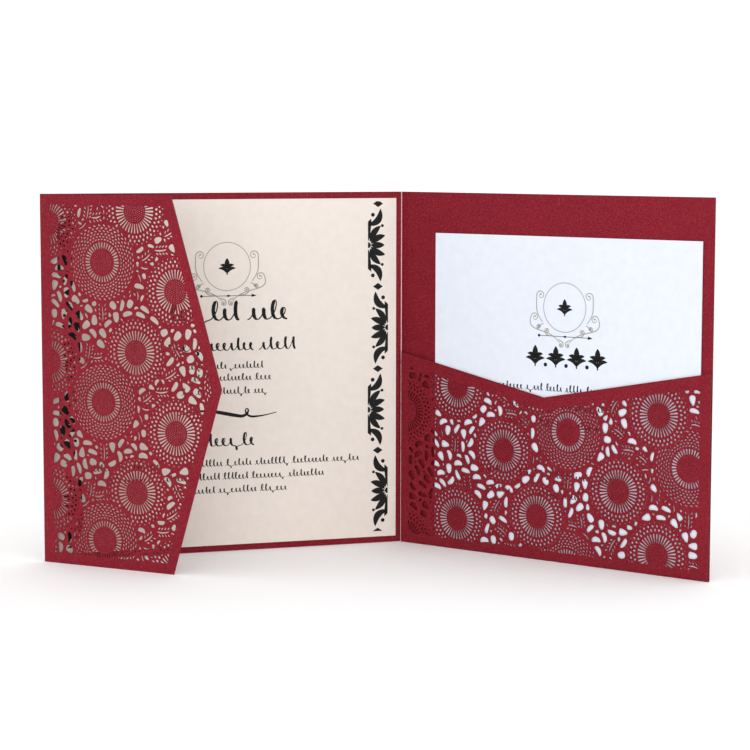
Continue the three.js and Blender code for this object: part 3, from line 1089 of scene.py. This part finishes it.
class INVITATION_OT_reply_card(bpy.types.Operator):
    """Finishes the white reply card and prints its ornament and pen lines"""
    bl_idname = "invitation.reply_card"
    bl_label = "Reply card"

    def execute(self, context):
        scene = context.scene
        strip, cards, colours = Strip(scene), scene.card_sizes, scene.finish_colours
        left_along = strip.sizes.right_width
        finish = ("white smooth card", colours.white, colours.card_edge, 0.12)
        dress_card("reply_card", strip, left_along, *finish)
        dark = printing_ink("black reply print", colours.ink, 0.4)
        pale = printing_ink("pale reply print", colours.pale_ink, 0.45)
        fine = Print(strip, cards, left_along)
        emblem(fine, REPLY_EMBLEM)
        fine.piece("reply_emblem", "white_card", pale)
        text = Print(strip, cards, left_along)
        sprig(text, REPLY_EMBLEM, EMBLEM_SPRIG)
        arrow_rule(text, *REPLY_ARROW)
        sprig_row(text, *REPLY_SPRIGS)
        text.pen_lines(REPLY_LINES)
        text.piece("reply_print", "white_card", dark)
        return {"FINISHED"}


class INVITATION_OT_studio(bpy.types.Operator):
    """Builds the pale floor, the lights and the camera"""
    bl_idname = "invitation.studio"
    bl_label = "Studio"

    def execute(self, context):
        scene = context.scene
        studio = scene.studio_sizes
        self.sweep(scene, studio)
        for name, place, size, power in LAMPS:
            light = bpy.data.lights.new(name, "AREA")
            light.size = size
            light.energy = getattr(studio, power)
            lamp = bpy.data.objects.new(name, light)
            lamp.location = place
            lamp.rotation_euler = (Vector(LAMP_TARGET) - lamp.location).to_track_quat("-Z", "Y").to_euler()
            scene.collection.objects.link(lamp)
        world = bpy.data.worlds.new("even light")
        world.use_nodes = True
        background = world.node_tree.nodes["Background"]
        background.inputs["Color"].default_value = (1, 1, 1, 1)
        background.inputs["Strength"].default_value = studio.sky
        scene.world = world
        scene.view_settings.view_transform = "Standard"
        self.camera(scene, studio)
        return {"FINISHED"}

    def sweep(self, scene, studio):
        """One sheet that runs from the floor up into the backdrop."""
        front, bend_start, radius, top, half, steps = -3.0, 1.2, 0.8, 3.0, 4.0, 12
        profile = [(front, 0.0), (bend_start, 0.0)]
        for i in range(1, steps + 1):
            swept = pi / 2 * i / steps
            profile.append((bend_start + radius * sin(swept), radius * (1 - cos(swept))))
        profile.append((bend_start + radius, top))
        places = [(side * half, y, z) for y, z in profile for side in (-1, 1)]
        faces = [(2 * i, 2 * i + 1, 2 * i + 3, 2 * i + 2) for i in range(len(profile) - 1)]
        mesh = bpy.data.meshes.new("floor_sweep")
        mesh.from_pydata(places, [], faces)
        mesh.polygons.foreach_set("use_smooth", [True] * len(faces))
        mesh.materials.append(Finish("pale floor").finish(Base_Color=studio.floor, Roughness=0.85))
        sheet = bpy.data.objects.new("floor_sweep", mesh)
        scene.collection.objects.link(sheet)

    def camera(self, scene, studio):
        lens = bpy.data.cameras.new("camera")
        lens.lens = studio.lens
        lens.sensor_width = 36.0
        lens.clip_start = 0.01
        camera = bpy.data.objects.new("camera", lens)
        fold, _ = Strip(scene).plan(scene.jacket_sizes.right_width)
        camera.location = (
            fold.real + studio.camera_side, fold.imag + studio.camera_back, studio.camera_height)
        camera.rotation_euler = (pi / 2 - studio.camera_pitch, studio.camera_roll, 0.0)
        scene.collection.objects.link(camera)
        scene.camera = camera


class INVITATION_PT_panel(bpy.types.Panel):
    bl_label = "Pocket invitation"
    bl_idname = "INVITATION_PT_panel"
    bl_space_type = "VIEW_3D"
    bl_region_type = "UI"
    bl_category = "Invitation"

    def draw(self, context):
        layout = self.layout
        for name, group in SETTINGS.items():
            for value in group.__annotations__:
                layout.prop(getattr(context.scene, name), value)
        for operator in OPERATORS:
            layout.operator(operator.bl_idname)


SETTINGS = {
    "jacket_sizes": JacketSizes,
    "pocket_sizes": PocketSizes,
    "card_sizes": CardSizes,
    "cut_work_sizes": CutWorkSizes,
    "finish_colours": FinishColours,
    "studio_sizes": StudioSizes,
}
OPERATORS = (INVITATION_OT_jacket, INVITATION_OT_insert, INVITATION_OT_reply_card, INVITATION_OT_studio)
CLASSES = (*SETTINGS.values(), *OPERATORS, INVITATION_PT_panel)


def register():
    for made in CLASSES:
        bpy.utils.register_class(made)
    for name, group in SETTINGS.items():
        setattr(bpy.types.Scene, name, bpy.props.PointerProperty(type=group))


def unregister():
    for name in SETTINGS:
        delattr(bpy.types.Scene, name)
    for made in reversed(CLASSES):
        bpy.utils.unregister_class(made)


def main():
    register()
    bpy.ops.invitation.jacket()
    bpy.ops.invitation.insert()
    bpy.ops.invitation.reply_card()
    bpy.ops.invitation.studio()


if __name__ == "__main__":
    main()
